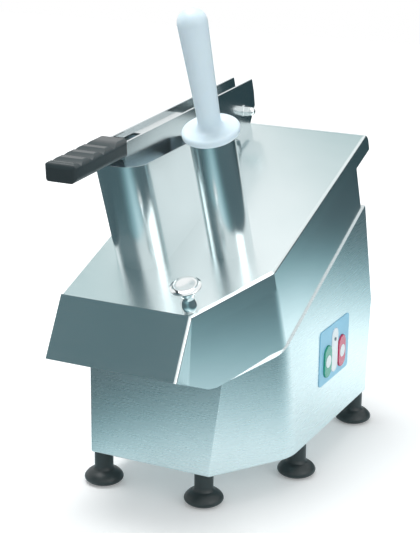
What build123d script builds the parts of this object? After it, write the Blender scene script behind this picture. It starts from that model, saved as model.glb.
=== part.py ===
from build123d import *
import os
from math import cos, radians, sin

os.makedirs("parts", exist_ok=True)

# Sheet metal and clearances
sheet = 2.0
slip = 0.3
running = 0.05

# Stance: the origin lies on the floor, under the middle of the whole machine
body_width = 250.0
foot_height = 45.0
lid_front_y = -180.256
lid_front_height = 244.5
lid_tilt = 20.75

# Lid, in its own sloping plane: x across, s up the slope, h square to it
lid_length = 450.0
lid_front_width = 186.7
lid_chamfer_length = 107.9
lid_flange = 28.0
lid_bend = 4.0
lid_rear_bend = 15.0

# Hood over the discharge: how far its front leans out and how deep it hangs
hood_reach = 63.5
hood_drop = 55.7
mouth_depth = 122.0
mouth_back_s = 5.0
cheek_back_s = -19.5

# Lower casing
casing_setback = 67.4
casing_length = 386.3
casing_bulge = 10.3
casing_bulge_height = 141.8
casing_front_top = 135.0
casing_corner_top = 163.0
casing_corner_run = 75.6
casing_rear_top = 296.0
casing_rear_run = 353.6
casing_front_width = 178.7
casing_chamfer_length = 107.2
casing_chamfer_lean = 18.8
side_bend = 58.0
corner_bend = 3.0
casing_lip = 12.0
casing_edge = 1.8

# Fixed upper body
body_rear_s = 403.0
body_bend = 32.0
mouth_corner = 6.0

# Cutting chamber and its outlet
disc_s = 153.0
disc_radius = 102.5
disc_thickness = 3.0
disc_depth = 9.0
chamber_radius = 106.0
chamber_depth = 62.0
chamber_wall = 2.4
outlet_x = -25.0
outlet_width = 124.0

# Large hopper
hopper_x = -56.8
hopper_front_s = 70.8
hopper_length = 165.0
hopper_width = 72.6
hopper_corner = 29.5
hopper_rim_front = 171.0
hopper_rim_tilt = 2.87

# Round feed tube and its pusher
tube_x = 47.4
tube_s = 146.9
tube_radius = 28.7
tube_wall = 1.6
tube_height = 169.0
pusher_clearance = 0.9
pusher_reach = 168.0
pusher_collar_radius = 36.5
pusher_collar = 10.0
pusher_neck_radius = 14.4
pusher_top_radius = 18.4
pusher_handle = 160.0
neck_length = 16.0
neck_fillet = 9.0
collar_rounding = 4.2
pusher_foot_chamfer = 1.5

# Feed lever
pivot_s = 402.5
pivot_h = 43.3
pivot_radius = 4.0
lever_width = 31.4
lever_plate = 3.0
lever_tilt = 3.7
lever_top_rise = 39.8
lever_reach = 341.2
lever_depth = 22.0
lever_hanger_depth = 58.0
lever_hanger_length = 140.0
lever_ear = 35.0
ear_rear = 36.0
ear_front = 45.0

# Grip
grip_length = 125.0
grip_width = 42.0
grip_height = 23.0
grip_rise = 6.0
grip_wave = 25.3
grip_lean = 0.74
grip_plateau = 34.0
grip_valley = 4.5
grip_corner = 6.5
grip_end_corner = 5.0
tang_width = 16.0
tang_height = 9.0
tang_cover = 18.0
tang_drop = 3.0

# Drive
shaft_radius = 10.0
bearing_radius = 20.0
bearing_width = 12.0
housing_radius = 26.0
housing_wall = 8.0
shaft_clearance = 1.0
pulley_radius = 70.0
motor_pulley_radius = 22.0
pulley_width = 18.0
pulley_gap = 5.0
groove_depth = 8.0
groove_width = 9.0
belt_width = 7.2
belt_thickness = 5.0
motor_s = 331.0
motor_radius = 58.0
motor_length = 112.0
motor_shaft_radius = 7.0
motor_flange = 14.0
motor_band = 3.0
motor_shaft_opening = 6.0
fan_recess = 4.0
fan_rim = 12.0
shaft_end = 2.0
drive_plate = 5.0
drive_plate_depth = 142.0

# Knob at the front corner of the lid
knob_x = 54.0
knob_s = 11.5
knob_foot_radius = 8.5
knob_stem_radius = 10.8
knob_stem_height = 8.0
knob_neck_radius = 9.0
knob_neck_height = 19.0
knob_head_radius = 20.0
knob_height = 39.0
knob_rim = 3.0
knob_crown = 1.2
stud_radius = 4.0

# Hinge behind the body
hinge_s = 425.0
hinge_h = -16.0
hinge_pin_radius = 4.0
hinge_ear_radius = 9.0
hinge_x = 80.0

# Control panel on the right side wall
panel_y = 137.2
panel_z = 154.5
panel_length = 107.0
panel_height = 81.0
panel_thickness = 1.0
button_length = 47.0
button_width = 27.0
button_travel = 2.0
lamp_length = 65.0
lamp_width = 23.0
button_spacing = 26.0

# Feet
foot_radius = 26.6
foot_stem_radius = 12.8
foot_sole_radius = 19.0
foot_skirt = 8.0
foot_waist = 23.0
foot_inset = 13.0
front_foot_x = 39.0
chamfer_foot_shift = 3.0
skirt_rise = 5.0
skirt_flare = 4.0
side_foot_y = 44.2

# Worked out from the sizes above
half_width = body_width / 2
cos_tilt = cos(radians(lid_tilt))
sin_tilt = sin(radians(lid_tilt))
lid_front_z = foot_height + lid_front_height
front_x = lid_front_width - half_width
chamfer_run = body_width - lid_front_width
gap = sheet + slip
casing_y = lid_front_y + casing_setback
casing_rear_y = casing_y + casing_length
button_drop = (lamp_length - button_length) / 2
opening_length = button_length + 2 * slip
opening_width = button_width + 2 * slip
pulley_depth = drive_plate_depth + drive_plate + pulley_gap
room = 6 * body_width


def side_point(s, h):
    """Y and Z of a point given along and square to the lid."""
    y = lid_front_y + s * cos_tilt - h * sin_tilt
    z = lid_front_z + s * sin_tilt + h * cos_tilt
    return y, z


def lid_point(x, s, h):
    return Vector(x, *side_point(s, h))


def lid_direction(x, s, h):
    return Vector(x, s * cos_tilt - h * sin_tilt, s * sin_tilt + h * cos_tilt)


lid_plane = Plane(origin=lid_point(0, 0, 0), x_dir=(1, 0, 0), z_dir=lid_direction(0, 0, 1))


def level(h):
    """The plane parallel to the lid at height h above it."""
    return lid_plane.offset(h)


def normal_at(x, s):
    """The line square to the lid at x, s."""
    return Axis(lid_point(x, s, 0), lid_direction(0, 0, 1))


def profile_at(x, s):
    """The plane for turned profiles at x, s: radius across, height square to the lid."""
    return Plane(origin=lid_point(x, s, 0), x_dir=(1, 0, 0), z_dir=lid_direction(0, -1, 0))


def sheet_block(walls, openings, inset=0.0):
    """A block bounded by wall planes moved in by inset, and by openings moved out by it."""
    with BuildPart() as block:
        Box(room, room, room)
        for wall in walls:
            split(bisect_by=wall.offset(-inset), keep=Keep.BOTTOM)
        for opening in openings:
            split(bisect_by=opening.offset(inset), keep=Keep.BOTTOM)
    return block.part


def nearest_edges(shape, points):
    return [shape.edges().sort_by_distance(point)[0] for point in points]


# Wall planes, with their normals pointing out of the machine
left_wall = Plane(origin=(-half_width, 0, 0), z_dir=(-1, 0, 0))
right_wall = Plane(origin=(half_width, 0, 0), z_dir=(1, 0, 0))
chamfer_wall = Plane(
    origin=lid_point(front_x, 0, 0),
    x_dir=lid_direction(chamfer_run, lid_chamfer_length, 0),
    z_dir=lid_direction(lid_chamfer_length, -chamfer_run, 0),
)
lid_rear = Plane(origin=lid_point(0, lid_length, 0), x_dir=(1, 0, 0), z_dir=lid_direction(0, 1, 0))
lid_hem = Plane(origin=lid_point(0, 0, -lid_flange), x_dir=(1, 0, 0), z_dir=lid_direction(0, 0, -1))

# The mouth of the hood runs in a straight line from the front edge to the casing
mouth_slope = (mouth_depth - hood_drop) / (mouth_back_s + hood_reach)
cheek_back_h = -hood_drop - (cheek_back_s + hood_reach) * mouth_slope
hood_front = Plane(
    origin=lid_point(0, 0, 0),
    x_dir=(1, 0, 0),
    z_dir=lid_direction(0, -hood_drop, hood_reach),
)
hood_mouth = Plane(
    origin=lid_point(0, -hood_reach, -hood_drop),
    x_dir=(1, 0, 0),
    z_dir=lid_direction(0, -mouth_slope, -1),
)
cheek_end = Plane(
    origin=lid_point(0, 0, 0),
    x_dir=(1, 0, 0),
    z_dir=lid_direction(0, -cheek_back_h, cheek_back_s),
)
cheek_start = Plane(
    origin=lid_point(0, 0, 0),
    x_dir=(1, 0, 0),
    z_dir=lid_direction(0, cheek_back_h, -cheek_back_s),
)
cheek_back_x = front_x + cheek_back_s * chamfer_run / lid_chamfer_length
cheek_edge = lid_direction(0, -hood_reach, -hood_drop)
cheek_side = lid_direction(cheek_back_x - front_x, cheek_back_s, cheek_back_h)
hood_cheek = Plane(
    origin=lid_point(front_x, 0, 0),
    x_dir=cheek_edge,
    z_dir=cheek_edge.cross(cheek_side),
)
body_rear = Plane(origin=lid_point(0, body_rear_s, 0), x_dir=(1, 0, 0), z_dir=lid_direction(0, 1, 0))

# Lower casing planes
casing_front = Plane(origin=(0, casing_y, 0), z_dir=(0, -1, 0))
casing_chamfer = Plane(
    origin=(casing_front_width - half_width, casing_y, foot_height),
    x_dir=(body_width - casing_front_width, casing_chamfer_length, 0),
    z_dir=Vector(body_width - casing_front_width, casing_chamfer_length, 0).cross(
        Vector(casing_chamfer_lean, 0, casing_front_top)
    ),
)
front_seam_y = (casing_y, casing_y + casing_corner_run)
front_seam_z = (foot_height + casing_front_top, foot_height + casing_corner_top)
rear_seam_y = casing_y + casing_rear_run
rear_seam_z = foot_height + casing_rear_top
front_seam = Plane(
    origin=(0, front_seam_y[1], front_seam_z[1]),
    x_dir=(1, 0, 0),
    z_dir=(0, front_seam_z[1] - front_seam_z[0], front_seam_y[0] - front_seam_y[1]),
)
rear_seam = Plane(
    origin=(0, front_seam_y[1], front_seam_z[1]),
    x_dir=(1, 0, 0),
    z_dir=(0, rear_seam_z - front_seam_z[1], front_seam_y[1] - rear_seam_y),
)
casing_rear_top_wall = Plane(origin=(0, rear_seam_y, 0), z_dir=(0, 1, 0))


def casing_block(inset):
    """The form of the lower casing moved in by inset on every side."""
    with BuildPart() as block:
        with BuildSketch(Plane.YZ) as profile:
            with BuildLine():
                Polyline(
                    (casing_y, foot_height),
                    (front_seam_y[0], front_seam_z[0]),
                    (front_seam_y[1], front_seam_z[1]),
                    (rear_seam_y, rear_seam_z),
                    (casing_rear_y + casing_bulge, foot_height + casing_bulge_height),
                    (casing_rear_y, foot_height),
                    close=True,
                )
            make_face()
            if inset > 0:
                offset(amount=-inset, kind=Kind.INTERSECTION)
        extrude(amount=half_width - inset, both=True)
        split(bisect_by=casing_chamfer.offset(-inset), keep=Keep.BOTTOM)
        corner = (half_width, casing_y + casing_chamfer_length, foot_height + casing_front_top / 2)
        fillet(nearest_edges(block.part, [corner]), side_bend - inset)
    return block.part


# Lower casing: front, sides, rear and the hems that the upper body and floor plate rest on
chamfer_x = casing_front_width - half_width
corner_points = [
    (-half_width, casing_y, foot_height + casing_front_top / 2),
    (chamfer_x + casing_chamfer_lean / 2, casing_y, foot_height + casing_front_top / 2),
]
with BuildPart() as lower_casing:
    add(casing_block(0.0))
    fillet(nearest_edges(lower_casing.part, corner_points), corner_bend)
    fillet(lower_casing.faces().sort_by(Axis.Z)[0].outer_wire().edges(), casing_edge)
    add(casing_block(sheet), mode=Mode.SUBTRACT)
    add(
        sheet_block(
            [left_wall, right_wall, casing_front, casing_chamfer, casing_rear_top_wall],
            [],
            casing_lip,
        ),
        mode=Mode.SUBTRACT,
    )
    with BuildSketch(Plane.YZ.offset(half_width - 3 * sheet)):
        for side in (-1, 1):
            with Locations((panel_y + side * button_spacing, panel_z - button_drop)):
                SlotOverall(opening_length, opening_width, rotation=90)
        with Locations((panel_y, panel_z)):
            SlotOverall(lamp_length, lamp_width, rotation=90)
    extrude(amount=6 * sheet, mode=Mode.SUBTRACT)
lower_casing.part.label = "lower_casing"
export_step(lower_casing.part, "parts/lower_casing.step")

# Floor plate lying on the bottom hem
with BuildPart() as base_plate:
    add(casing_block(sheet + slip))
    split(bisect_by=Plane.XY.offset(foot_height + 2 * sheet), keep=Keep.BOTTOM)
    with BuildPart(mode=Mode.SUBTRACT):
        with Locations((0, 0, foot_height)):
            Box(room, room, 2 * sheet)
base_plate.part.label = "base_plate"
export_step(base_plate.part, "parts/base_plate.step")

# Drive plate, parallel to the lid, that carries the bearings and the motor
with BuildPart() as drive_deck:
    add(casing_block(sheet + slip))
    split(bisect_by=level(-drive_plate_depth), keep=Keep.BOTTOM)
    split(bisect_by=level(-drive_plate_depth - drive_plate), keep=Keep.TOP)
    with BuildSketch(level(-drive_plate_depth)):
        with Locations((0, disc_s)):
            Circle(housing_radius - housing_wall)
        with Locations((0, motor_s)):
            Circle(motor_shaft_radius + motor_shaft_opening)
    extrude(amount=-drive_plate, mode=Mode.SUBTRACT)
drive_deck.part.label = "drive_plate"
export_step(drive_deck.part, "parts/drive_plate.step")

# Upper body: chamfer, sides and rear, open above and toward the mouth
body_gap = sheet + slip
body_walls = [left_wall, right_wall, chamfer_wall, body_rear]


def body_form(inset):
    """The form of the upper body moved in by inset, with its bend at the chamfer."""
    with BuildPart() as form:
        add(sheet_block(body_walls, [], inset))
        bend = lid_point(half_width, lid_chamfer_length, -chamber_depth)
        fillet(nearest_edges(form.part, [bend]), body_bend - inset)
    return form.part


mouth_line = lid_direction(0, 1, -mouth_slope).normalized()
seam_line = Vector(0, casing_corner_run, casing_corner_top - casing_front_top).normalized()
mouth_start = lid_point(0, -hood_reach, -hood_drop)
to_seam = (front_seam.origin - mouth_start).dot(front_seam.z_dir) / mouth_line.dot(front_seam.z_dir)
mouth_end = mouth_start + mouth_line * to_seam
blunt_line = mouth_line + seam_line
mouth_blunt = Plane(
    origin=mouth_end - mouth_line * mouth_corner,
    x_dir=(1, 0, 0),
    z_dir=(0, blunt_line.Z, -blunt_line.Y),
)
body_openings = [
    lid_plane.offset(-lid_bend - slip),
    cheek_start.offset(-slip),
    hood_mouth,
    mouth_blunt,
    front_seam,
    rear_seam,
]
with BuildPart() as upper_body:
    add(body_form(body_gap))
    for opening in body_openings:
        split(bisect_by=opening, keep=Keep.BOTTOM)
    add(body_form(body_gap + sheet), mode=Mode.SUBTRACT)
upper_body.part.label = "upper_body"
export_step(upper_body.part, "parts/upper_body.step")

# Bulkhead behind the mouth, with a window for the outlet of the chamber
outlet_outer = outlet_width + 2 * chamber_wall
with BuildPart() as bulkhead:
    add(sheet_block([left_wall, right_wall, chamfer_wall], [], body_gap + sheet + slip))
    split(bisect_by=Plane(origin=(0, casing_y + sheet, 0), z_dir=(0, -1, 0)), keep=Keep.BOTTOM)
    split(bisect_by=Plane(origin=(0, casing_y + 2 * sheet, 0), z_dir=(0, 1, 0)), keep=Keep.BOTTOM)
    split(bisect_by=front_seam, keep=Keep.BOTTOM)
    split(bisect_by=lid_plane.offset(-body_gap), keep=Keep.BOTTOM)
    with BuildSketch(level(0)):
        with Locations((outlet_x, 0)):
            Rectangle(outlet_outer + 2 * slip, 2 * disc_s)
        with Locations((0, disc_s)):
            Circle(chamber_radius + chamber_wall + slip)
    extrude(amount=-chamber_depth - chamber_wall - slip, mode=Mode.SUBTRACT)
bulkhead.part.label = "bulkhead"
export_step(bulkhead.part, "parts/bulkhead.step")

# Cutting chamber: a bowl whose front runs out over the mouth
outlet_end_s = 30.0
outlet_run = disc_s - outlet_end_s
with BuildPart() as chamber:
    with BuildSketch(level(-chamber_depth - chamber_wall)):
        with Locations((0, disc_s)):
            Circle(chamber_radius + chamber_wall)
        with Locations((outlet_x, disc_s - outlet_run / 2)):
            Rectangle(outlet_outer, outlet_run)
    extrude(amount=chamber_depth + chamber_wall - body_gap - slip)
    with BuildSketch(level(-chamber_depth)):
        with Locations((0, disc_s)):
            Circle(chamber_radius)
        with Locations((outlet_x, disc_s - outlet_run)):
            Rectangle(outlet_width, 2 * outlet_run)
    extrude(amount=chamber_depth, mode=Mode.SUBTRACT)
    with BuildSketch(level(-chamber_depth)):
        with Locations((0, disc_s)):
            Circle(shaft_radius + shaft_clearance)
    extrude(amount=-chamber_wall, mode=Mode.SUBTRACT)
chamber.part.label = "cutting_chamber"
export_step(chamber.part, "parts/cutting_chamber.step")


def turned(name, x, s, top, bottom, radius, bore=0.0, rounding=0.0):
    """A turned piece square to the lid, from its bottom level to its top level."""
    with BuildPart() as piece:
        with BuildSketch(level(bottom)):
            with Locations((x, s)):
                Circle(radius)
                if bore > 0:
                    Circle(bore, mode=Mode.SUBTRACT)
        extrude(amount=top - bottom)
        if rounding > 0:
            rim = piece.part.faces().sort_by(normal_at(x, s))[-1]
            fillet(rim.outer_wire().edges(), rounding)
    piece.part.label = name
    export_step(piece.part, "parts/" + name + ".step")
    return piece.part


def grooved(name, x, s, radius, bore):
    """A belt pulley with one groove around it."""
    bottom = -pulley_depth - pulley_width
    with BuildPart() as pulley:
        with BuildSketch(level(bottom)):
            with Locations((x, s)):
                Circle(radius)
                Circle(bore, mode=Mode.SUBTRACT)
        extrude(amount=pulley_width)
        with BuildSketch(level(bottom + (pulley_width - groove_width) / 2)):
            with Locations((x, s)):
                Circle(2 * radius)
                Circle(radius - groove_depth, mode=Mode.SUBTRACT)
        extrude(amount=groove_width, mode=Mode.SUBTRACT)
    pulley.part.label = name
    export_step(pulley.part, "parts/" + name + ".step")
    return pulley.part


# Spindle with its bearings, under the chamber
housing_top = -chamber_depth - chamber_wall
housing_bottom = -drive_plate_depth
shaft_bottom = -pulley_depth - pulley_width - shaft_end
nut_height = 4.5
nut_radius = 15.0
nut_rounding = 1.5
nut_recess = 1.0
with BuildPart() as housing:
    with BuildSketch(level(housing_bottom)):
        with Locations((0, disc_s)):
            Circle(housing_radius)
            Circle(housing_radius - housing_wall, mode=Mode.SUBTRACT)
    extrude(amount=housing_top - housing_bottom)
    with BuildSketch(level(housing_bottom)):
        with Locations((0, disc_s)):
            Circle(bearing_radius)
    extrude(amount=bearing_width, mode=Mode.SUBTRACT)
    with BuildSketch(level(housing_top - bearing_width)):
        with Locations((0, disc_s)):
            Circle(bearing_radius)
    extrude(amount=bearing_width, mode=Mode.SUBTRACT)
housing.part.label = "bearing_housing"
export_step(housing.part, "parts/bearing_housing.step")
bearing_bore = shaft_radius + running
upper_seat = housing_top - bearing_width
lower_seat = housing_bottom + bearing_width
turned("upper_bearing", 0, disc_s, housing_top, upper_seat, bearing_radius, bearing_bore)
turned("lower_bearing", 0, disc_s, lower_seat, housing_bottom, bearing_radius, bearing_bore)
turned("drive_shaft", 0, disc_s, -disc_depth + nut_height - nut_recess, shaft_bottom, shaft_radius)

# Drive: motor behind the chamber, belt and pulleys under the drive plate
grooved("spindle_pulley", 0, disc_s, pulley_radius, shaft_radius)
grooved("motor_pulley", 0, motor_s, motor_pulley_radius, motor_shaft_radius)
motor_bottom = -drive_plate_depth
motor_top = motor_bottom + motor_length
shaft_hole = motor_shaft_radius + running
with BuildPart() as motor:
    with BuildSketch(level(motor_bottom)):
        with Locations((0, motor_s)):
            Circle(motor_radius)
            Circle(shaft_hole, mode=Mode.SUBTRACT)
    extrude(amount=motor_length)
    with BuildSketch(level(motor_bottom + motor_flange)):
        with Locations((0, motor_s)):
            Circle(motor_radius)
            Circle(motor_radius - motor_band, mode=Mode.SUBTRACT)
    extrude(amount=motor_length - 2 * motor_flange, mode=Mode.SUBTRACT)
    with BuildSketch(level(motor_top - fan_recess)):
        with Locations((0, motor_s)):
            Circle(motor_radius - fan_rim)
    extrude(amount=fan_recess, mode=Mode.SUBTRACT)
motor.part.label = "motor"
export_step(motor.part, "parts/motor.step")
turned("motor_shaft", 0, motor_s, motor_top - fan_recess - shaft_end, shaft_bottom, motor_shaft_radius)
with BuildPart() as belt:
    for grow in (belt_thickness + slip, slip):
        with BuildSketch(level(-pulley_depth - (pulley_width + belt_width) / 2)):
            with Locations((0, disc_s)):
                Circle(pulley_radius - groove_depth + grow)
            with Locations((0, motor_s)):
                Circle(motor_pulley_radius - groove_depth + grow)
            make_hull()
        extrude(amount=belt_width, mode=Mode.ADD if grow > slip else Mode.SUBTRACT)
belt.part.label = "drive_belt"
export_step(belt.part, "parts/drive_belt.step")

# Cutting disc on the spindle, with blades above it and paddles below
disc_bottom = -disc_depth - disc_thickness
hub_length = 8.0
paddle_gap = 5.0
paddle_tip_gap = 8.0
paddle_thickness = 5.0
disc_hub_bottom = disc_bottom - hub_length
paddle_bottom = -chamber_depth + paddle_gap
blade_count = 3
blade_length = 62.0
blade_width = 14.0
blade_thickness = 2.5
hub_radius = 22.0
with BuildPart() as disc:
    with BuildSketch(level(disc_bottom)):
        with Locations((0, disc_s)):
            Circle(disc_radius)
    extrude(amount=disc_thickness)
    with BuildSketch(level(disc_hub_bottom)):
        with Locations((0, disc_s)):
            Circle(hub_radius)
    extrude(amount=disc_bottom - disc_hub_bottom)
    with BuildSketch(level(disc_hub_bottom)):
        with Locations((0, disc_s)):
            Circle(shaft_radius)
    extrude(amount=-disc_depth - disc_hub_bottom, mode=Mode.SUBTRACT)
    with BuildSketch(level(disc_bottom)):
        with Locations((0, disc_s)):
            with PolarLocations(blade_length, blade_count):
                Rectangle(blade_length, blade_width / 2, align=(Align.CENTER, Align.MAX))
    extrude(amount=disc_thickness, mode=Mode.SUBTRACT)
disc.part.label = "cutting_disc"
export_step(disc.part, "parts/cutting_disc.step")
for number in range(blade_count):
    with BuildPart() as blade:
        with BuildSketch(level(-disc_depth)):
            with Locations(Location((0, disc_s, 0), number * 360 / blade_count)):
                with Locations((blade_length, 0)):
                    Rectangle(blade_length, blade_width, align=(Align.CENTER, Align.MIN))
        extrude(amount=blade_thickness)
    blade.part.label = "blade_" + str(number + 1)
    export_step(blade.part, "parts/blade_" + str(number + 1) + ".step")
nut_top = -disc_depth + nut_height
turned("disc_nut", 0, disc_s, nut_top, -disc_depth, nut_radius, shaft_radius, nut_rounding)
with BuildPart() as ejector:
    with BuildSketch(level(paddle_bottom)):
        with Locations((0, disc_s)):
            Circle(hub_radius)
            with PolarLocations(0, blade_count):
                Rectangle(
                    chamber_radius - paddle_tip_gap,
                    paddle_thickness,
                    align=(Align.MIN, Align.CENTER),
                )
            Circle(shaft_radius, mode=Mode.SUBTRACT)
    extrude(amount=disc_hub_bottom - paddle_bottom)
ejector.part.label = "ejector"
export_step(ejector.part, "parts/ejector.step")

# Large hopper: a rounded oblong tube whose rim is cut nearly level
hopper_mid_s = hopper_front_s + hopper_length / 2
hopper_wall = tube_wall
hopper_rim = Plane(
    origin=(0, lid_front_y, lid_front_z + hopper_rim_front),
    x_dir=(1, 0, 0),
    z_dir=(0, -sin(radians(hopper_rim_tilt)), cos(radians(hopper_rim_tilt))),
)
with BuildPart() as hopper:
    with BuildSketch(level(0)):
        with Locations((hopper_x, hopper_mid_s)):
            RectangleRounded(hopper_width, hopper_length, hopper_corner)
            RectangleRounded(
                hopper_width - 2 * hopper_wall,
                hopper_length - 2 * hopper_wall,
                hopper_corner - hopper_wall,
                mode=Mode.SUBTRACT,
            )
    extrude(amount=2 * hopper_rim_front)
    split(bisect_by=hopper_rim, keep=Keep.BOTTOM)
hopper.part.label = "large_hopper"
export_step(hopper.part, "parts/large_hopper.step")

turned("round_feed_tube", tube_x, tube_s, tube_height, 0, tube_radius, tube_radius - tube_wall)

# Lid: top sheet with its side folds, and the hood that leans out over the mouth
lid_walls = [lid_plane, left_wall, right_wall, chamfer_wall, lid_rear]
hood_walls = [hood_front, left_wall, hood_cheek]
rear_fold = lid_point(0, lid_length, 0)
side_folds = [
    lid_point(-half_width, lid_length / 2, 0),
    lid_point(front_x + chamfer_run / 2, lid_chamfer_length / 2, 0),
    lid_point(half_width, (lid_chamfer_length + lid_length) / 2, 0),
]


def lid_cap(inset):
    """The cap formed by the lid's top and side folds, moved in by inset."""
    with BuildPart() as cap:
        add(sheet_block(lid_walls, [lid_hem, cheek_start], inset))
        fillet(nearest_edges(cap.part, [rear_fold]), lid_rear_bend - inset)
        for fold in side_folds:
            fillet(nearest_edges(cap.part, [fold]), lid_bend - inset)
    return cap.part


def hood(inset):
    """The hood in front of the lid's front edge, moved in by inset."""
    with BuildPart() as form:
        add(sheet_block(hood_walls, [hood_mouth, cheek_end], inset))
        fold = lid_point(front_x, -hood_reach / 2, -hood_drop / 2)
        fillet(nearest_edges(form.part, [fold]), lid_bend - inset)
    return form.part


with BuildPart() as lid:
    add(lid_cap(0.0))
    add(lid_cap(sheet), mode=Mode.SUBTRACT)
    add(hood(0.0))
    add(hood(sheet), mode=Mode.SUBTRACT)
    with BuildSketch(level(0)):
        with Locations((hopper_x, hopper_mid_s)):
            RectangleRounded(
                hopper_width - 2 * hopper_wall,
                hopper_length - 2 * hopper_wall,
                hopper_corner - hopper_wall,
            )
        with Locations((tube_x, tube_s)):
            Circle(tube_radius - tube_wall)
        with Locations((knob_x, knob_s)):
            Circle(stud_radius + 2 * running)
    extrude(amount=-2 * sheet, mode=Mode.SUBTRACT)
lid.part.label = "lid"
export_step(lid.part, "parts/lid.step")

# Round pusher: a body that slides in the tube, a collar on its rim and a swelling handle
pusher_radius = tube_radius - tube_wall - pusher_clearance
collar_top = tube_height + pusher_collar
handle_top = collar_top + pusher_handle
swell_height = handle_top - pusher_top_radius
neck_height = collar_top + neck_length
pusher_foot = tube_height - pusher_reach
with BuildPart() as pusher:
    with BuildSketch(profile_at(tube_x, tube_s)):
        with BuildLine():
            Polyline(
                (0, swell_height),
                (0, pusher_foot),
                (pusher_radius, pusher_foot),
                (pusher_radius, tube_height),
                (pusher_collar_radius, tube_height),
                (pusher_collar_radius, collar_top),
                (pusher_neck_radius, collar_top),
                (pusher_neck_radius, neck_height),
                (pusher_top_radius, swell_height),
                close=True,
            )
        make_face()
    axis = normal_at(tube_x, tube_s)
    revolve(axis=axis)
    with Locations(lid_point(tube_x, tube_s, swell_height)):
        Sphere(pusher_top_radius)
    rings = pusher.edges().filter_by(GeomType.CIRCLE)
    collar_rims = rings.filter_by(lambda edge: abs(edge.radius - pusher_collar_radius) < 0.01)
    fillet(collar_rims, collar_rounding)
    rings = pusher.edges().filter_by(GeomType.CIRCLE)
    neck = rings.filter_by(lambda edge: abs(edge.radius - pusher_neck_radius) < 0.01)
    fillet(neck.sort_by(axis)[0], neck_fillet)
    foot = pusher.edges().filter_by(GeomType.CIRCLE).sort_by(axis)[0]
    chamfer(foot, pusher_foot_chamfer)
pusher.part.label = "round_pusher"
export_step(pusher.part, "parts/round_pusher.step")

# Feed lever, drawn along its own length t and rise w from the pivot
pivot_y, pivot_z = side_point(pivot_s, pivot_h)
lever_cos = cos(radians(lever_tilt))
lever_sin = sin(radians(lever_tilt))
side_view = Plane(origin=(hopper_x, pivot_y, pivot_z), x_dir=(0, lever_cos, lever_sin), z_dir=(1, 0, 0))


def lever_depth_point(t, depth):
    return t, lever_top_rise - depth


hanger_front = -lever_reach
hanger_rear = hanger_front + lever_hanger_length
hanger_rake = 12.0
hanger_slope = 18.0
belly_run = 55.0
lever_crown = 10.0
half_lever = lever_width / 2
web_depth = 4.5
web_start = 36.0
web_length = 138.0
notch_length = 25.0
notch_width = 13.0
with BuildPart() as lever:
    with BuildSketch(side_view) as profile:
        with BuildLine():
            Polyline(
                lever_depth_point(hanger_front, 0),
                lever_depth_point(hanger_front, lever_depth),
                lever_depth_point(hanger_front + hanger_rake, lever_hanger_depth),
                lever_depth_point(hanger_rear, lever_hanger_depth),
                lever_depth_point(hanger_rear + hanger_slope, lever_depth),
                lever_depth_point(-ear_front - belly_run, lever_depth),
                (-ear_front, -lever_ear * 0.75),
                (-ear_front * 0.35, -lever_ear * 1.14),
                (ear_rear * 0.4, -lever_ear * 0.9),
                (ear_rear, 0),
                (ear_rear * 0.92, lever_top_rise * 0.5),
                lever_depth_point(ear_rear * 0.75, 0),
                close=True,
            )
        make_face()
        fillet(profile.vertices().group_by(Axis.Y)[-1].sort_by(Axis.Y)[-1:], lever_crown)
    extrude(amount=half_lever, both=True)
    with BuildSketch(side_view):
        Rectangle(3 * lever_reach, 6 * lever_top_rise)
    extrude(amount=half_lever - lever_plate, both=True, mode=Mode.SUBTRACT)
    with BuildSketch(side_view):
        with Locations(lever_depth_point(hanger_front + web_start, web_depth)):
            Rectangle(web_length, lever_plate, align=(Align.MIN, Align.MAX))
        with Locations(lever_depth_point(hanger_front, web_depth)):
            Rectangle(lever_plate, lever_depth - web_depth, align=(Align.MIN, Align.MAX))
    extrude(amount=half_lever - lever_plate, both=True)
    with BuildSketch(side_view):
        with Locations(lever_depth_point(hanger_front + web_start, 0)):
            Rectangle(notch_length, 3 * lever_plate, align=(Align.MIN, Align.MAX))
    extrude(amount=notch_width / 2, both=True, mode=Mode.SUBTRACT)
    with BuildSketch(side_view):
        Circle(pivot_radius + running)
    extrude(amount=lever_width, both=True, mode=Mode.SUBTRACT)
lever.part.label = "lever_arm"
export_step(lever.part, "parts/lever_arm.step")

# Hopper pusher: a block under the lever that follows the inside of the hopper
block_front_gap = 4.0
block_rear_gap = 11.5
block_side_gap = 1.2
block_length = hopper_length - 2 * hopper_wall - block_front_gap - block_rear_gap
block_width = hopper_width - 2 * hopper_wall - 2 * block_side_gap
block_bottom = 5.0
block_top = Plane(
    origin=side_view.from_local_coords((0, lever_top_rise - lever_hanger_depth, 0)),
    x_dir=(1, 0, 0),
    z_dir=(0, -lever_sin, lever_cos),
)
with BuildPart() as block:
    with BuildSketch(level(block_bottom)):
        with Locations((hopper_x, hopper_front_s + hopper_wall + block_front_gap)):
            with Locations((0, block_length / 2)):
                RectangleRounded(block_width, block_length, hopper_corner - hopper_wall - block_side_gap)
    extrude(amount=2 * hopper_rim_front)
    split(bisect_by=block_top, keep=Keep.BOTTOM)
block.part.label = "hopper_pusher"
export_step(block.part, "parts/hopper_pusher.step")

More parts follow.
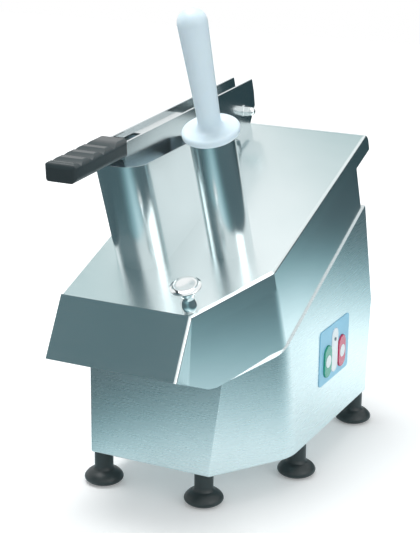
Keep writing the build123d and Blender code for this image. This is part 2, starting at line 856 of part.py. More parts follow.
# Grip on the front of the lever, with finger waves along its top, and the tang inside it
grip_front = hanger_front - grip_length
grip_crest = lever_top_rise + grip_rise
grip_sole = grip_crest - grip_height
tang_length = grip_length - tang_cover
tang_rise = lever_top_rise - web_depth - tang_height / 2 - tang_drop
wave_count = 3
last_valley = hanger_front - grip_plateau
first_valley = last_valley - wave_count * grip_wave
wave_starts = [first_valley + number * grip_wave for number in range(wave_count)]
grip_section = Plane(
    origin=side_view.from_local_coords((grip_front, (grip_crest + grip_sole) / 2, 0)),
    x_dir=(1, 0, 0),
    z_dir=(0, lever_cos, lever_sin),
)
grip_plan = Plane(
    origin=side_view.from_local_coords((grip_front + grip_length / 2, grip_sole, 0)),
    x_dir=(0, lever_cos, lever_sin),
    z_dir=(0, -lever_sin, lever_cos),
)
with BuildPart() as grip:
    with BuildSketch(side_view):
        with BuildLine():
            valley = grip_crest - grip_valley
            nose = (grip_front, grip_crest - grip_corner)
            Spline(
                nose,
                (first_valley - (1 - grip_lean) * grip_wave, grip_crest),
                (first_valley, valley),
                tangents=[(0.3, 1), (0.7, -1)],
            )
            for start in wave_starts:
                Spline(
                    (start, valley),
                    (start + grip_lean * grip_wave, grip_crest),
                    (start + grip_wave, valley),
                    tangents=[(1, 0.5), (0.7, -1)],
                )
            plateau = (last_valley + grip_lean * grip_wave, grip_crest)
            Spline((last_valley, valley), plateau, tangents=[(1, 0.5), (1, 0)])
            Polyline(
                plateau,
                (hanger_front, grip_crest),
                (hanger_front, grip_sole),
                (grip_front, grip_sole),
                nose,
            )
        make_face()
    extrude(amount=grip_width / 2, both=True)
    with BuildPart(mode=Mode.INTERSECT):
        with BuildSketch(grip_section):
            RectangleRounded(grip_width, grip_height, grip_corner)
        extrude(amount=grip_length)
    with BuildPart(mode=Mode.INTERSECT):
        with BuildSketch(grip_plan):
            RectangleRounded(grip_length, grip_width, grip_end_corner)
        extrude(amount=grip_height)
    with BuildSketch(side_view):
        with Locations((hanger_front, tang_rise)):
            Rectangle(tang_length, tang_height, align=(Align.MAX, Align.CENTER))
    extrude(amount=tang_width / 2, both=True, mode=Mode.SUBTRACT)
grip.part.label = "lever_grip"
export_step(grip.part, "parts/lever_grip.step")
with BuildPart() as tang:
    with BuildSketch(side_view):
        with Locations((hanger_front, tang_rise)):
            Rectangle(tang_length, tang_height, align=(Align.MAX, Align.CENTER))
    extrude(amount=tang_width / 2, both=True)
tang.part.label = "lever_tang"
export_step(tang.part, "parts/lever_tang.step")

# Bracket that stands on the lid between the ears of the lever
bracket_width = lever_width - 2 * lever_plate - 2 * slip
bracket_plate = 4.0
bracket_length = 40.0
lug_radius = 12.0
lid_side_view = Plane(
    origin=lid_point(hopper_x, pivot_s, 0),
    x_dir=lid_direction(0, 1, 0),
    z_dir=(1, 0, 0),
)
with BuildPart() as bracket:
    with BuildSketch(lid_side_view):
        with BuildLine():
            Polyline(
                (-bracket_length / 2, 0),
                (bracket_length / 2, 0),
                (bracket_length / 2, bracket_plate),
                (lug_radius, pivot_h),
                (-lug_radius, pivot_h),
                (-bracket_length / 2, bracket_plate),
                close=True,
            )
        make_face()
        with Locations((0, pivot_h)):
            Circle(lug_radius)
            Circle(pivot_radius + running, mode=Mode.SUBTRACT)
    extrude(amount=bracket_width / 2, both=True)
    with BuildSketch(lid_side_view):
        with Locations((0, bracket_plate)):
            Rectangle(2 * bracket_length, 2 * pivot_h, align=(Align.CENTER, Align.MIN))
    extrude(amount=bracket_width / 2 - bracket_plate, both=True, mode=Mode.SUBTRACT)
bracket.part.label = "lever_bracket"
export_step(bracket.part, "parts/lever_bracket.step")

# Pivot pin with a washer and a domed nut at each end
pin_axis = Plane(origin=(hopper_x, pivot_y, pivot_z), x_dir=(0, 1, 0), z_dir=(1, 0, 0))
washer_thickness = 1.6
washer_radius = 8.0
nut_size = 13.0
nut_hex = 7.0
nut_length = 15.0
dome_radius = 6.0
dome_rounding = 5.2
nut_start = half_lever + washer_thickness
with BuildPart() as pin:
    with BuildSketch(pin_axis):
        Circle(pivot_radius)
    extrude(amount=nut_start + nut_hex, both=True)
pin.part.label = "lever_pin"
export_step(pin.part, "parts/lever_pin.step")
for name, side in (("left", -1), ("right", 1)):
    with BuildPart() as washer:
        with BuildSketch(pin_axis.offset(side * half_lever)):
            Circle(washer_radius)
            Circle(pivot_radius, mode=Mode.SUBTRACT)
        extrude(amount=side * washer_thickness)
    washer.part.label = "washer_" + name
    export_step(washer.part, "parts/washer_" + name + ".step")
    with BuildPart() as nut:
        with BuildSketch(pin_axis.offset(side * nut_start)):
            RegularPolygon(nut_size / 2, 6, major_radius=False)
        extrude(amount=side * nut_hex)
        with BuildSketch(pin_axis.offset(side * (nut_start + nut_hex))):
            Circle(dome_radius)
        extrude(amount=side * (nut_length - nut_hex))
        tip = nut.faces().sort_by(Axis.X)[0 if side < 0 else -1]
        fillet(tip.outer_wire().edges(), dome_rounding)
        with BuildSketch(pin_axis.offset(side * nut_start)):
            Circle(pivot_radius)
        extrude(amount=side * nut_hex, mode=Mode.SUBTRACT)
    nut.part.label = "nut_" + name
    export_step(nut.part, "parts/nut_" + name + ".step")

# Hinge under the rear overhang of the lid
ear_width = 6.0
hinge_half = hinge_x + 1.5 * ear_width + slip
hinge_view = Plane(
    origin=lid_point(0, hinge_s, hinge_h),
    x_dir=lid_direction(0, 1, 0),
    z_dir=(1, 0, 0),
)
with BuildPart() as hinge_pin:
    with BuildSketch(hinge_view):
        Circle(hinge_pin_radius)
    extrude(amount=hinge_half, both=True)
hinge_pin.part.label = "hinge_pin"
export_step(hinge_pin.part, "parts/hinge_pin.step")
for name, side in (("left", -1), ("right", 1)):
    with BuildPart() as ear:
        with BuildSketch(hinge_view.offset(side * hinge_x)):
            Circle(hinge_ear_radius)
            Rectangle(2 * hinge_ear_radius, -hinge_h - sheet, align=(Align.CENTER, Align.MIN))
            Circle(hinge_pin_radius + running, mode=Mode.SUBTRACT)
        extrude(amount=ear_width / 2, both=True)
    ear.part.label = "hinge_ear_" + name
    export_step(ear.part, "parts/hinge_ear_" + name + ".step")
    with BuildPart() as leaf:
        with BuildSketch(hinge_view.offset(side * (hinge_x + ear_width + slip))):
            Circle(hinge_ear_radius)
            Rectangle(
                hinge_s - body_rear_s + body_gap,
                2 * hinge_ear_radius,
                align=(Align.MAX, Align.CENTER),
            )
            Circle(hinge_pin_radius, mode=Mode.SUBTRACT)
        extrude(amount=ear_width / 2, both=True)
    leaf.part.label = "hinge_leaf_" + name
    export_step(leaf.part, "parts/hinge_leaf_" + name + ".step")

# Knob that turns the latch under the front corner of the lid
tongue_drop = 18.3
tongue_top = -sheet - tongue_drop
tongue_thickness = 3.0
tongue_length = 24.0
tongue_width = 10.0
tongue_eye = 7.0
tab_thickness = 2.0
tab_width = 20.0
tab_overlap = 5.0
tab_offset = 18.0
with BuildPart() as knob:
    with BuildSketch(profile_at(knob_x, knob_s)):
        with BuildLine():
            foot = 2 * running
            rim = knob_height - knob_rim
            Polyline((0, knob_height), (0, tongue_top), (stud_radius, tongue_top), (stud_radius, foot))
            Line((stud_radius, foot), (knob_foot_radius, foot))
            Spline(
                (knob_foot_radius, foot),
                (knob_stem_radius, knob_stem_height),
                (knob_neck_radius, knob_neck_height),
                tangents=[(0.6, 1), (-0.1, 1)],
            )
            Spline(
                (knob_neck_radius, knob_neck_height),
                (knob_head_radius, rim),
                tangents=[(0.2, 1), (1, 0.9)],
            )
            Spline(
                (knob_head_radius, rim),
                (knob_head_radius - knob_crown, knob_height - knob_crown),
                (0, knob_height),
                tangents=[(0, 1), (-1, 0)],
            )
        make_face()
    revolve(axis=normal_at(knob_x, knob_s))
knob.part.label = "lid_knob"
export_step(knob.part, "parts/lid_knob.step")
along = lid_direction(chamfer_run, lid_chamfer_length, 0).normalized()
outward = chamfer_wall.z_dir
tongue_plane = Plane(
    origin=lid_point(knob_x, knob_s, tongue_top),
    x_dir=outward * -1,
    z_dir=lid_direction(0, 0, 1),
)
with BuildPart() as tongue:
    with BuildSketch(tongue_plane):
        with Locations(((tongue_length - tongue_width) / 2, 0)):
            SlotOverall(tongue_length + tongue_width / 2, tongue_width)
        Circle(tongue_eye)
    extrude(amount=-tongue_thickness)
tongue.part.label = "latch_tongue"
export_step(tongue.part, "parts/latch_tongue.step")
wall_distance = (chamfer_wall.origin - lid_point(knob_x, knob_s, 0)).dot(outward) - body_gap - sheet
tab_plane = Plane(
    origin=lid_point(knob_x, knob_s, tongue_top + slip) + outward * wall_distance,
    x_dir=outward * -1,
    z_dir=lid_direction(0, 0, 1),
)
with BuildPart() as tab:
    with BuildSketch(tab_plane):
        with Locations((0, -tab_offset)):
            Rectangle(wall_distance + tab_overlap, tab_width, align=(Align.MIN, Align.CENTER))
    extrude(amount=tab_thickness)
tab.part.label = "latch_tab"
export_step(tab.part, "parts/latch_tab.step")

# Control panel: plate, two push buttons, a lit bar and the switch box behind the wall
panel_side = Plane(origin=(half_width, panel_y, panel_z), x_dir=(0, 1, 0), z_dir=(1, 0, 0))
button_face = 3.2
button_root = 6.0
button_rounding = 1.2
lamp_rise = 1.0
lamp_rounding = 0.6
lamp_radius = 2.5
panel_corner = 6.0
mark_radius = 9.0
mark_thickness = 0.3
box_depth = 38.0
box_margin = 2.0
with BuildPart() as panel:
    with BuildSketch(panel_side):
        RectangleRounded(panel_length, panel_height, panel_corner)
        for side in (-1, 1):
            with Locations((side * button_spacing, -button_drop)):
                SlotOverall(opening_length, opening_width, rotation=90, mode=Mode.SUBTRACT)
        SlotOverall(lamp_length, lamp_width, rotation=90, mode=Mode.SUBTRACT)
    extrude(amount=panel_thickness)
panel.part.label = "control_panel"
export_step(panel.part, "parts/control_panel.step")
for name, side in (("green", -1), ("red", 1)):
    with BuildPart() as button:
        with BuildSketch(panel_side.offset(-button_root)):
            with Locations((side * button_spacing, -button_drop)):
                SlotOverall(button_length, button_width, rotation=90)
        extrude(amount=button_root + button_face)
        fillet(button.faces().sort_by(Axis.X)[-1].outer_wire().edges(), button_rounding)
    button.part.label = name + "_button"
    export_step(button.part, "parts/" + name + "_button.step")
    with BuildPart() as mark:
        with BuildSketch(panel_side.offset(button_face)):
            with Locations((side * button_spacing, -button_drop)):
                Circle(mark_radius)
        extrude(amount=mark_thickness)
    mark.part.label = name + "_button_disc"
    export_step(mark.part, "parts/" + name + "_button_disc.step")
with BuildPart() as bar:
    with BuildSketch(panel_side.offset(-button_root)):
        SlotOverall(lamp_length, lamp_width, rotation=90)
    extrude(amount=button_root + panel_thickness + lamp_rise)
    fillet(bar.faces().sort_by(Axis.X)[-1].outer_wire().edges(), lamp_rounding)
bar.part.label = "lamp_bar"
export_step(bar.part, "parts/lamp_bar.step")
with BuildPart() as lamp:
    with BuildSketch(panel_side.offset(panel_thickness + lamp_rise)):
        with Locations((0, lamp_length / 4)):
            Circle(lamp_radius)
    extrude(amount=lamp_rise)
lamp.part.label = "pilot_lamp"
export_step(lamp.part, "parts/pilot_lamp.step")
with BuildPart() as switch_box:
    with BuildSketch(panel_side.offset(-sheet)):
        Rectangle(panel_length - 2 * box_margin, panel_height - 2 * box_margin)
    extrude(amount=-box_depth)
    with BuildSketch(panel_side.offset(-sheet)):
        for side in (-1, 1):
            with Locations((side * button_spacing, -button_drop)):
                SlotOverall(opening_length, opening_width, rotation=90)
    extrude(amount=-button_root - button_travel - slip + sheet, mode=Mode.SUBTRACT)
    with BuildSketch(panel_side.offset(-sheet)):
        SlotOverall(lamp_length, lamp_width, rotation=90)
    extrude(amount=-button_root + sheet, mode=Mode.SUBTRACT)
switch_box.part.label = "switch_box"
export_step(switch_box.part, "parts/switch_box.step")

# Bell feet under the bottom hem
left_foot_x = -half_width + foot_inset
feet = {
    "foot_front_left": (left_foot_x, casing_y + foot_inset),
    "foot_front_right": (front_foot_x, casing_y + foot_inset + chamfer_foot_shift),
    "foot_side": (half_width - foot_inset, side_foot_y),
    "foot_rear_right": (half_width - foot_inset, casing_rear_y - foot_inset),
    "foot_rear_left": (left_foot_x, casing_rear_y - foot_inset),
}
for name, (x, y) in feet.items():
    with BuildPart() as foot:
        with BuildSketch(Plane(origin=(x, y, 0), x_dir=(1, 0, 0), z_dir=(0, -1, 0))):
            with BuildLine():
                Line((foot_stem_radius, foot_waist), (foot_stem_radius, foot_height))
                Polyline((foot_stem_radius, foot_height), (0, foot_height), (0, 0), (foot_sole_radius, 0))
                Spline(
                    (foot_sole_radius, 0),
                    (foot_radius, foot_skirt),
                    (foot_stem_radius + skirt_flare, foot_waist - skirt_rise),
                    (foot_stem_radius, foot_waist),
                    tangents=[(1, 0.4), (-0.3, 1)],
                )
            make_face()
        revolve(axis=Axis((x, y, 0), (0, 0, 1)))
    foot.part.label = name
    export_step(foot.part, "parts/" + name + ".step")
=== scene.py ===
# %% [markdown]
# A stainless countertop vegetable cutter, dressed for a picture. The imported model gives the frame:
# every sheet, tube and lever is already in place, so this file adds finishes, a floor, light and a camera.

# %% Load the frame
import math

import bmesh
import bpy
from mathutils import Matrix, Vector

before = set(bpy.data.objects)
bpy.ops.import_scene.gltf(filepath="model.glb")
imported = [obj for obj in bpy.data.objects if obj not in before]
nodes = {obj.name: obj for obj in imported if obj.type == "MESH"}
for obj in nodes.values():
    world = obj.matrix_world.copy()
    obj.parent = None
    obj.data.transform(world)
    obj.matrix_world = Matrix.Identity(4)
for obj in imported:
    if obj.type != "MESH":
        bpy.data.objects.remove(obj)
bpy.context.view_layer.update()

# %% [markdown]
# The lid slopes, so it gets coordinates of its own: x across, s up the slope, h square to it.

# %% Lid coordinates
TILT = math.radians(20.75)
LID_EDGE = Vector((0.0, -0.180256, 0.2895))
UP_SLOPE = Vector((0.0, math.cos(TILT), math.sin(TILT)))
LID_NORMAL = Vector((0.0, -math.sin(TILT), math.cos(TILT)))
ACROSS = Vector((1.0, 0.0, 0.0))


def on_lid(x, s, h=0.0):
    """A point in metres from millimetres across, up and square to the lid."""
    return LID_EDGE + ACROSS * (x / 1000) + UP_SLOPE * (s / 1000) + LID_NORMAL * (h / 1000)


LID_TURN = Matrix((ACROSS, UP_SLOPE, LID_NORMAL)).transposed().to_4x4()
print("front edge of the lid", tuple(round(v, 4) for v in LID_EDGE))

# %% [markdown]
# Finishes share one grain: fine streaks that a belt leaves on sheet metal. As a node group, it is built once
# and each material stretches it along its own direction.


# %% Shader groups
def group(name, inputs, outputs):
    """A shader node group with named sockets, and its input and output nodes."""
    tree = bpy.data.node_groups.new(name, "ShaderNodeTree")
    for label, kind, value in inputs:
        socket = tree.interface.new_socket(name=label, in_out="INPUT", socket_type=kind)
        socket.default_value = value
    for label, kind in outputs:
        tree.interface.new_socket(name=label, in_out="OUTPUT", socket_type=kind)
    return tree, tree.nodes.new("NodeGroupInput"), tree.nodes.new("NodeGroupOutput")


def node(tree, kind, **settings):
    """A shader node with its properties set."""
    made = tree.nodes.new(kind)
    for key, value in settings.items():
        setattr(made, key, value)
    return made


def math_node(tree, operation, first, second):
    """A math node fed by a socket and a socket or a number."""
    made = node(tree, "ShaderNodeMath", operation=operation)
    for slot, value in enumerate((first, second)):
        if isinstance(value, (int, float)):
            made.inputs[slot].default_value = value
        else:
            tree.links.new(value, made.inputs[slot])
    return made.outputs[0]


FLOAT = "NodeSocketFloat"
VECTOR = "NodeSocketVector"
COLOR = "NodeSocketColor"

grain, grain_in, grain_out = group(
    "Belt grain",
    [("Stretch", VECTOR, (1.0, 1.0, 1.0)), ("Roughness", FLOAT, 0.3), ("Spread", FLOAT, 0.1)],
    [("Roughness", FLOAT), ("Height", FLOAT), ("Mottle", FLOAT)],
)
place = node(grain, "ShaderNodeTexCoord")
scale = node(grain, "ShaderNodeVectorMath", operation="MULTIPLY")
grain.links.new(place.outputs["Object"], scale.inputs[0])
grain.links.new(grain_in.outputs["Stretch"], scale.inputs[1])
streaks = node(grain, "ShaderNodeTexNoise")
streaks.inputs["Scale"].default_value = 1.0
streaks.inputs["Detail"].default_value = 4.0
grain.links.new(scale.outputs[0], streaks.inputs["Vector"])
clouds = node(grain, "ShaderNodeTexNoise")
clouds.inputs["Scale"].default_value = 9.0
clouds.inputs["Detail"].default_value = 3.0
grain.links.new(place.outputs["Object"], clouds.inputs["Vector"])
centred = math_node(grain, "SUBTRACT", streaks.outputs["Fac"], 0.5)
spread = math_node(grain, "MULTIPLY", centred, grain_in.outputs["Spread"])
rough = math_node(grain, "ADD", grain_in.outputs["Roughness"], spread)
grain.links.new(rough, grain_out.inputs["Roughness"])
grain.links.new(streaks.outputs["Fac"], grain_out.inputs["Height"])
grain.links.new(clouds.outputs["Fac"], grain_out.inputs["Mottle"])
print("shader groups", [g.name for g in bpy.data.node_groups])


# %% Steel finishes
def blank(name):
    """A material with only a Principled shader and its output."""
    material = bpy.data.materials.new(name)
    material.use_nodes = True
    tree = material.node_tree
    return material, tree, tree.nodes["Principled BSDF"]


def steel(name, dark, light, stretch=(30.0, 900.0, 900.0), roughness=0.32, spread=0.16, relief=0.00002):
    """Brushed steel whose tone drifts between two colours."""
    material, tree, shader = blank(name)
    shader.inputs["Metallic"].default_value = 1.0
    brushed = node(tree, "ShaderNodeGroup", node_tree=grain)
    brushed.inputs["Stretch"].default_value = stretch
    brushed.inputs["Roughness"].default_value = roughness
    brushed.inputs["Spread"].default_value = spread
    tone = node(tree, "ShaderNodeMix", data_type="RGBA")
    tone.inputs["A"].default_value = (*dark, 1.0)
    tone.inputs["B"].default_value = (*light, 1.0)
    tree.links.new(brushed.outputs["Mottle"], tone.inputs["Factor"])
    tree.links.new(tone.outputs["Result"], shader.inputs["Base Color"])
    tree.links.new(brushed.outputs["Roughness"], shader.inputs["Roughness"])
    bump = node(tree, "ShaderNodeBump")
    bump.inputs["Distance"].default_value = relief
    tree.links.new(brushed.outputs["Height"], bump.inputs["Height"])
    tree.links.new(bump.outputs["Normal"], shader.inputs["Normal"])
    return material


casing_steel = steel("casing_steel", (0.74, 0.80, 0.81), (0.86, 0.90, 0.91), (30.0, 30.0, 900.0), 0.28, 0.10)
body_steel = steel("body_steel", (0.70, 0.77, 0.78), (0.82, 0.87, 0.88), (30.0, 30.0, 900.0), 0.22, 0.10)
tube_steel = steel("tube_steel", (0.72, 0.78, 0.79), (0.84, 0.89, 0.90), (30.0, 30.0, 900.0), 0.20, 0.08)
lever_steel = steel("lever_steel", (0.62, 0.68, 0.70), (0.74, 0.80, 0.81), (900.0, 30.0, 900.0), 0.20, 0.10)
bright_steel = steel("bright_steel", (0.84, 0.88, 0.89), (0.92, 0.95, 0.95), (60.0, 60.0, 60.0), 0.10, 0.05)
aluminium = steel("cast_aluminium", (0.60, 0.62, 0.63), (0.70, 0.72, 0.72), (200.0, 200.0, 200.0), 0.45)


lid_steel = steel("lid_steel", (0.72, 0.81, 0.82), (0.82, 0.89, 0.90), (30.0, 900.0, 900.0), 0.24, 0.10)

# %% Plastics, rubber and paint
def moulded(name, color, roughness=0.35, relief=0.00003, size=900.0, coat=0.0):
    """Moulded plastic or rubber: a fine sparked texture and a slight drift of tone."""
    material, tree, shader = blank(name)
    shader.inputs["Coat Weight"].default_value = coat
    speckle = node(tree, "ShaderNodeGroup", node_tree=grain)
    speckle.inputs["Stretch"].default_value = (size, size, size)
    speckle.inputs["Roughness"].default_value = roughness
    speckle.inputs["Spread"].default_value = 0.12
    tone = node(tree, "ShaderNodeMix", data_type="RGBA")
    tone.inputs["A"].default_value = (*[v * 0.88 for v in color], 1.0)
    tone.inputs["B"].default_value = (*[min(1.0, v * 1.1) for v in color], 1.0)
    tree.links.new(speckle.outputs["Mottle"], tone.inputs["Factor"])
    tree.links.new(tone.outputs["Result"], shader.inputs["Base Color"])
    tree.links.new(speckle.outputs["Roughness"], shader.inputs["Roughness"])
    bump = node(tree, "ShaderNodeBump")
    bump.inputs["Distance"].default_value = relief
    tree.links.new(speckle.outputs["Height"], bump.inputs["Height"])
    tree.links.new(bump.outputs["Normal"], shader.inputs["Normal"])
    return material


black_rubber = moulded("black_rubber", (0.022, 0.034, 0.036), 0.42)
black_grip = moulded("black_grip", (0.030, 0.042, 0.046), 0.30)
white_nylon = moulded("white_nylon", (0.72, 0.85, 0.95), 0.38)
white_nylon.node_tree.nodes["Principled BSDF"].inputs["Subsurface Weight"].default_value = 0.25
white_nylon.node_tree.nodes["Principled BSDF"].inputs["Subsurface Radius"].default_value = (0.01, 0.012, 0.014)
panel_blue = moulded("panel_blue", (0.27, 0.62, 0.84), 0.30)
button_green = moulded("button_green", (0.01, 0.36, 0.24), 0.22, coat=0.3)
button_red = moulded("button_red", (0.62, 0.015, 0.10), 0.22, coat=0.3)
button_white = moulded("button_white", (0.82, 0.88, 0.92), 0.22, coat=0.3)
lamp_dark = moulded("lamp_dark", (0.03, 0.06, 0.09), 0.15, coat=0.5)
motor_paint = moulded("motor_paint", (0.10, 0.12, 0.13), 0.45)

finishes = {
    lid_steel: ["lid"],
    casing_steel: ["lower_casing", "base_plate"],
    body_steel: ["upper_body", "bulkhead", "cutting_chamber", "drive_plate", "latch_tab", "latch_tongue"],
    tube_steel: ["large_hopper", "round_feed_tube", "cutting_disc", "blade_1", "blade_2", "blade_3"],
    lever_steel: ["lever_arm", "lever_bracket", "lever_tang", "hinge_ear_left", "hinge_ear_right"],
    bright_steel: ["lid_knob", "nut_left", "nut_right", "washer_left", "washer_right", "lever_pin", "disc_nut"],
    aluminium: ["bearing_housing", "spindle_pulley", "motor_pulley", "ejector"],
    black_rubber: ["drive_belt", "foot_front_left", "foot_front_right", "foot_side"],
    black_grip: ["lever_grip", "switch_box"],
    white_nylon: ["round_pusher", "hopper_pusher"],
    panel_blue: ["control_panel"],
    button_green: ["green_button"],
    button_red: ["red_button"],
    button_white: ["green_button_disc", "red_button_disc", "lamp_bar"],
    lamp_dark: ["pilot_lamp"],
    motor_paint: ["motor"],
}
finishes[black_rubber] += ["foot_rear_left", "foot_rear_right"]
finishes[lever_steel] += ["hinge_leaf_left", "hinge_leaf_right"]
finishes[bright_steel] += ["hinge_pin", "drive_shaft", "motor_shaft", "upper_bearing", "lower_bearing"]
for material, names in finishes.items():
    for name in names:
        for slot in nodes[name].material_slots:
            slot.material = material
print("finished", sum(len(names) for names in finishes.values()), "of", len(nodes), "nodes")

# %% [markdown]
# The machine stands on white paper, which the camera sees white all around. For reflections the floor's colour
# is painted instead: pale near the machine, falling off to dark teal farther out, a painted reflection of a
# darker room, which is what gives brushed steel its contrast.

# %% Floor
bpy.ops.object.select_all(action="DESELECT")
bpy.ops.mesh.primitive_plane_add(size=8.0, location=(0.0, 0.0, -0.0005))
floor = bpy.context.object
floor.name = "floor"
material, tree, shader = blank("floor_paper_painted_reflection")
shader.inputs["Roughness"].default_value = 0.9
place = node(tree, "ShaderNodeTexCoord")
lit = 1.0
for direction, low, high in (
    ((1.0, -0.3, 0.0), 0.15, 0.60),
    ((0.0, 1.0, 0.0), 0.50, 1.35),
    ((-0.6, -0.8, 0.0), 0.10, 0.60),
    ((-1.0, 0.0, 0.0), 0.10, 0.45),
):
    reach = node(tree, "ShaderNodeVectorMath", operation="DOT_PRODUCT")
    reach.inputs[1].default_value = direction
    tree.links.new(place.outputs["Object"], reach.inputs[0])
    fall = node(tree, "ShaderNodeMapRange", interpolation_type="SMOOTHSTEP")
    fall.inputs["From Min"].default_value = low
    fall.inputs["From Max"].default_value = high
    fall.inputs["To Min"].default_value = 1.0
    fall.inputs["To Max"].default_value = 0.0
    tree.links.new(reach.outputs["Value"], fall.inputs["Value"])
    lit = fall.outputs[0] if lit == 1.0 else math_node(tree, "MULTIPLY", fall.outputs[0], lit)
# Painted reflection: reflections see the floor pale near the machine and dark teal farther out, set by position
# alone.
painted_reflection_ramp = node(tree, "ShaderNodeValToRGB")
painted_reflection_ramp.color_ramp.elements[0].color = (0.035, 0.065, 0.075, 1.0)
painted_reflection_ramp.color_ramp.elements[1].color = (0.80, 0.92, 0.94, 1.0)
for spot, color in ((0.25, (0.10, 0.19, 0.21)), (0.5, (0.24, 0.38, 0.41)), (0.75, (0.45, 0.60, 0.63))):
    painted_reflection_ramp.color_ramp.elements.new(spot).color = (*color, 1.0)
tree.links.new(lit, painted_reflection_ramp.inputs["Fac"])
path = node(tree, "ShaderNodeLightPath")
paper_and_painted_reflection = node(tree, "ShaderNodeMix", data_type="RGBA")
paper_and_painted_reflection.inputs["A"].default_value = (0.95, 0.95, 0.95, 1.0)
tree.links.new(path.outputs["Is Glossy Ray"], paper_and_painted_reflection.inputs["Factor"])
tree.links.new(painted_reflection_ramp.outputs["Color"], paper_and_painted_reflection.inputs["B"])
tree.links.new(paper_and_painted_reflection.outputs["Result"], shader.inputs["Base Color"])
tree.links.new(paper_and_painted_reflection.outputs["Result"], shader.inputs["Emission Color"])
# The floor glows so that it reads white. The glow is weaker near the machine, which paints shade around it on
# top of its real shadow.
away = node(tree, "ShaderNodeVectorMath", operation="LENGTH")
tree.links.new(place.outputs["Object"], away.inputs[0])
glow_with_painted_shade = node(tree, "ShaderNodeMapRange", interpolation_type="SMOOTHSTEP")
glow_with_painted_shade.inputs["From Min"].default_value = 0.25
glow_with_painted_shade.inputs["From Max"].default_value = 0.80
glow_with_painted_shade.inputs["To Min"].default_value = 0.20
glow_with_painted_shade.inputs["To Max"].default_value = 0.60
tree.links.new(away.outputs["Value"], glow_with_painted_shade.inputs["Value"])
seen = math_node(tree, "MAXIMUM", path.outputs["Is Camera Ray"], path.outputs["Is Glossy Ray"])
seen = math_node(tree, "MAXIMUM", seen, path.outputs["Is Transmission Ray"])
seen = math_node(tree, "MULTIPLY", seen, glow_with_painted_shade.outputs[0])
tree.links.new(seen, shader.inputs["Emission Strength"])
floor.data.materials.append(material)

# %% Light
world = bpy.context.scene.world or bpy.data.worlds.new("studio")
bpy.context.scene.world = world
world.use_nodes = True
tree = world.node_tree
tree.nodes.clear()
path = node(tree, "ShaderNodeLightPath")
shown = math_node(tree, "MAXIMUM", path.outputs["Is Camera Ray"], path.outputs["Is Glossy Ray"])
shown = math_node(tree, "MAXIMUM", shown, path.outputs["Is Transmission Ray"])
room = node(tree, "ShaderNodeBackground")
room.inputs["Color"].default_value = (0.92, 0.98, 1.0, 1.0)
room.inputs["Strength"].default_value = 0.55
white = node(tree, "ShaderNodeBackground")
white.inputs["Color"].default_value = (1.0, 1.0, 1.0, 1.0)
white.inputs["Strength"].default_value = 1.0
mix = node(tree, "ShaderNodeMixShader")
tree.links.new(shown, mix.inputs["Fac"])
tree.links.new(room.outputs[0], mix.inputs[1])
tree.links.new(white.outputs[0], mix.inputs[2])
out = node(tree, "ShaderNodeOutputWorld")
tree.links.new(mix.outputs[0], out.inputs["Surface"])


def lamp(name, place, target, size, power, color=(1.0, 1.0, 1.0)):
    """A square soft box aimed at a point."""
    data = bpy.data.lights.new(name, "AREA")
    data.size = size
    data.energy = power
    data.color = color
    light = bpy.data.objects.new(name, data)
    bpy.context.scene.collection.objects.link(light)
    light.location = place
    light.rotation_euler = (Vector(target) - Vector(place)).to_track_quat("-Z", "Y").to_euler()
    return light


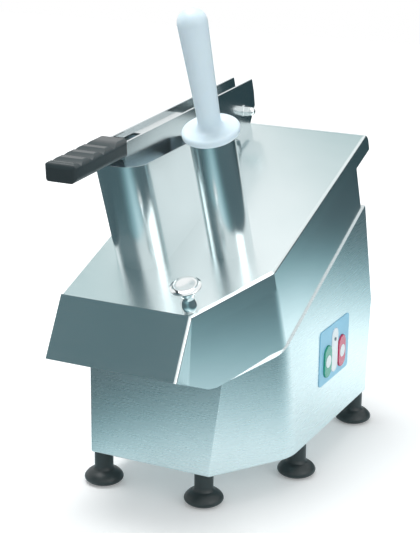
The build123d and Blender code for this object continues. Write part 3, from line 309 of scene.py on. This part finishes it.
def painted_reflection_card(name, place, target, width, height, color):
    """A card that only reflections see: a painted reflection in its own colour, fading out toward its rim."""
    bpy.ops.object.select_all(action="DESELECT")
    bpy.ops.mesh.primitive_plane_add(size=1.0, location=place)
    card = bpy.context.object
    card.name = name
    card.scale = (width, height, 1.0)
    card.rotation_euler = (Vector(target) - Vector(place)).to_track_quat("Z", "Y").to_euler()
    for ray in ("camera", "diffuse", "transmission", "volume_scatter", "shadow"):
        setattr(card, "visible_" + ray, False)
    material, tree, shader = blank(name)
    coordinates = node(tree, "ShaderNodeTexCoord")
    distance = node(tree, "ShaderNodeVectorMath", operation="LENGTH")
    tree.links.new(coordinates.outputs["Object"], distance.inputs[0])
    fade = node(tree, "ShaderNodeMapRange", interpolation_type="SMOOTHSTEP")
    fade.inputs["From Min"].default_value = 0.5
    fade.inputs["From Max"].default_value = 0.28
    tree.links.new(distance.outputs["Value"], fade.inputs["Value"])
    tree.links.new(fade.outputs[0], shader.inputs["Alpha"])
    shader.inputs["Base Color"].default_value = (0.0, 0.0, 0.0, 1.0)
    shader.inputs["Specular IOR Level"].default_value = 0.0
    shader.inputs["Emission Color"].default_value = (*color, 1.0)
    shader.inputs["Emission Strength"].default_value = 1.0
    card.data.materials.append(material)
    return card


# Painted reflections: dark cards darken the steel seen from the front and the back, and pale ones tone the
# reflections from the left and above.
painted_reflection_card("painted_reflection_front", (-0.70, -1.15, 0.98), (-0.04, -0.2, 0.26), 1.9, 1.6, (0.09, 0.16, 0.18))
painted_reflection_card("painted_reflection_back", (0.75, 1.75, 0.30), (0.0, 0.2, 0.5), 3.0, 1.9, (0.03, 0.06, 0.07))
painted_reflection_card("painted_reflection_left", (-1.05, 0.36, 1.42), (-0.1, -0.1, 0.3), 1.0, 1.0, (0.42, 0.55, 0.56))
painted_reflection_card("painted_reflection_above", (-0.37, 1.35, 1.62), (0.1, 0.2, 0.43), 1.0, 1.0, (0.42, 0.55, 0.56))
lamp("key", (-0.35, -0.25, 2.3), (0.0, 0.0, 0.2), 1.1, 30.0)
lamp("side", (2.0, -0.6, 1.2), (0.0, 0.0, 0.2), 1.2, 8.0)

# %% Camera
LENS = 99.2
EYE = Vector((0.8295, -1.687456, 0.8701))
yaw, pitch, roll = math.radians(26.27), math.radians(16.99), math.radians(0.65)
forward = Vector((-math.sin(yaw) * math.cos(pitch), math.cos(yaw) * math.cos(pitch), -math.sin(pitch)))
right = Vector((math.cos(yaw), math.sin(yaw), 0.0))
down = forward.cross(right)
turned_right = right * math.cos(roll) - down * math.sin(roll)
turned_down = right * math.sin(roll) + down * math.cos(roll)
view = bpy.data.cameras.new("camera")
view.lens = LENS
view.sensor_width = 36.0
eye = bpy.data.objects.new("camera", view)
bpy.context.scene.collection.objects.link(eye)
eye.matrix_world = Matrix.Translation(EYE) @ Matrix((turned_right, -turned_down, -forward)).transposed().to_4x4()
bpy.context.scene.camera = eye
bpy.context.scene.view_settings.view_transform = "Standard"
